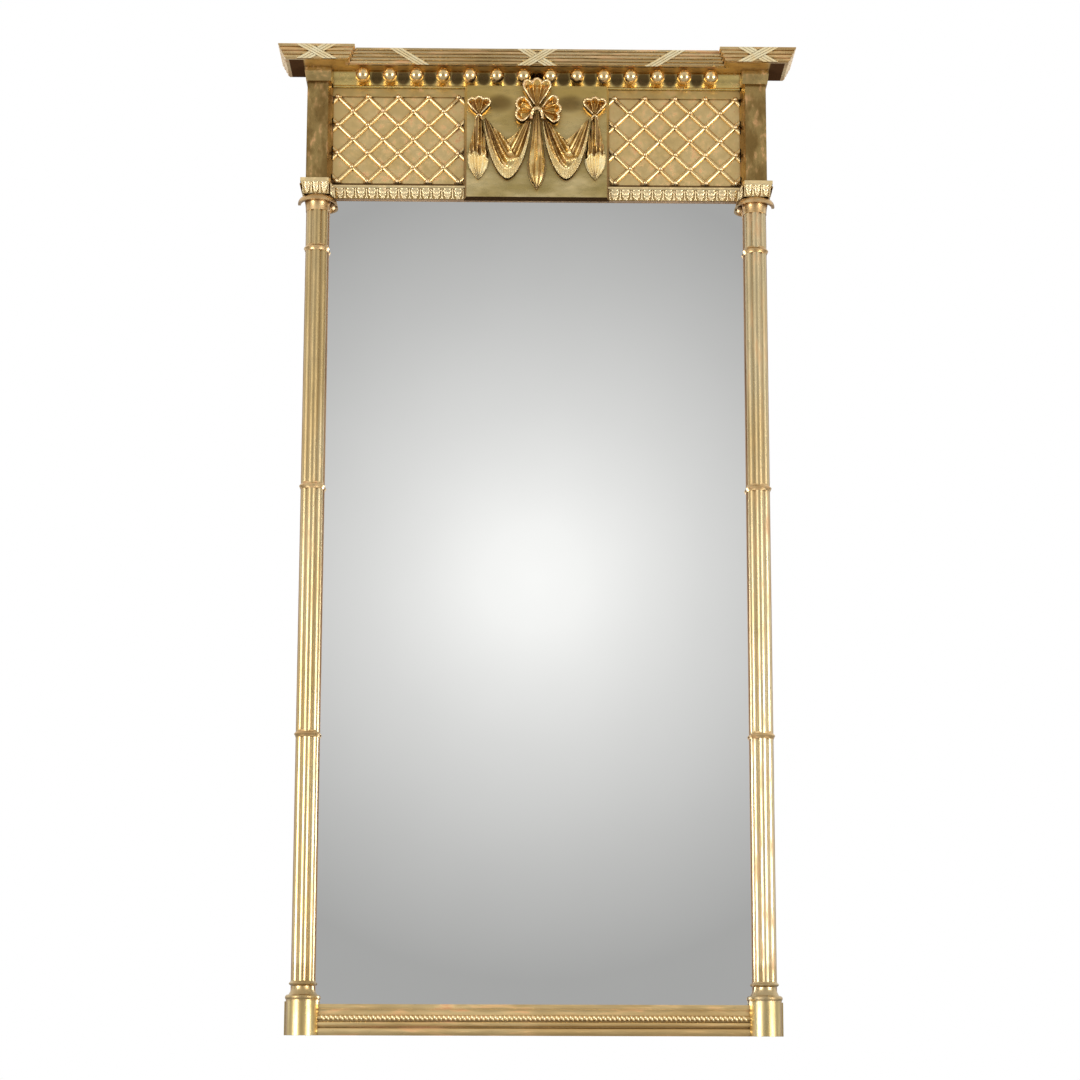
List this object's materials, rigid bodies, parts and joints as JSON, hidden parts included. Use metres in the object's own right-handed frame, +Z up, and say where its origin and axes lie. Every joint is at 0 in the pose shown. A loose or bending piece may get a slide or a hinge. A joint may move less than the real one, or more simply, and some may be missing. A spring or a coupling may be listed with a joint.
{
  "type": "pier mirror",
  "caption": "Tall gilt pier mirror with cluster columns, trellis frieze, draped tablet and a projecting reeded cornice hung with balls.",
  "frame": {"origin": "middle of the underside, in the plane of the wall that the frame's back lies on", "axes": "+X to the viewer's right, -Y out of the wall into the room, +Z up"},
  "size_m": [0.8514, 0.0992, 1.6],
  "materials": {
    "brass": "dull",
    "brown_gilding": "worn water-gilt",
    "deal": "sawn",
    "gilding": "water-gilt",
    "iron": "dull",
    "olive_gilding": "matt water-gilt",
    "pine": "planed",
    "rubbed_gilding": "water-gilt, rubbed to the bole",
    "silvered_glass": "silvered",
    "steel": "dull"
  },
  "bodies": {
    "frame": {"left_stile": "pine", "right_stile": "pine", "bottom_rail": "pine", "frieze_rail": "pine", "mirror_plate": "silvered_glass", "backboard_lower": "deal", "backboard_middle": "deal", "backboard_upper": "deal", "backboard_nails": "iron", "tablet": "olive_gilding", "left_trellis_ground": "gilding", "right_trellis_ground": "gilding", "left_trellis_lattice": "rubbed_gilding", "right_trellis_lattice": "rubbed_gilding", "trellis_beads": "rubbed_gilding", "left_frieze_fillet": "gilding", "right_frieze_fillet": "gilding", "left_leaf_moulding": "gilding", "right_leaf_moulding": "gilding", "left_pilaster": "brown_gilding", "right_pilaster": "brown_gilding", "left_impost_block": "brown_gilding", "right_impost_block": "brown_gilding", "left_capital_block": "gilding", "right_capital_block": "gilding", "left_collar": "rubbed_gilding", "right_collar": "rubbed_gilding", "left_column": "gilding", "right_column": "gilding", "column_rings": "rubbed_gilding", "left_column_base": "gilding", "right_column_base": "gilding", "left_plinth": "gilding", "right_plinth": "gilding", "bottom_moulding": "gilding", "rope_strip": "rubbed_gilding", "cornice_board": "pine", "cove_moulding": "gilding", "centre_cornice_moulding": "gilding", "left_end_front_moulding": "rubbed_gilding", "right_end_front_moulding": "rubbed_gilding", "left_end_outer_return": "rubbed_gilding", "right_end_outer_return": "rubbed_gilding", "left_end_inner_return": "rubbed_gilding", "right_end_inner_return": "rubbed_gilding", "ribbon_ties": "gilding", "cornice_balls": "rubbed_gilding", "bow": "gilding", "left_swag": "gilding", "right_swag": "gilding", "centre_drop": "gilding", "left_drop": "gilding", "right_drop": "gilding", "left_hanger_plate": "brass", "right_hanger_plate": "brass", "hanger_screws": "steel"},
    "left_ring": {"left_hanging_ring": "brass"},
    "right_ring": {"right_hanging_ring": "brass"}
  },
  "joints": [
    {"name": "left_ring_swing", "type": "hinge", "parent": "frame", "child": "left_ring", "pos_m": [-0.23, -0.0066, 1.47], "axis": [1, 0, 0], "range_deg": [0, 180]},
    {"name": "right_ring_swing", "type": "hinge", "parent": "frame", "child": "right_ring", "pos_m": [0.23, -0.0066, 1.47], "axis": [1, 0, 0], "range_deg": [0, 180]}
  ]
}
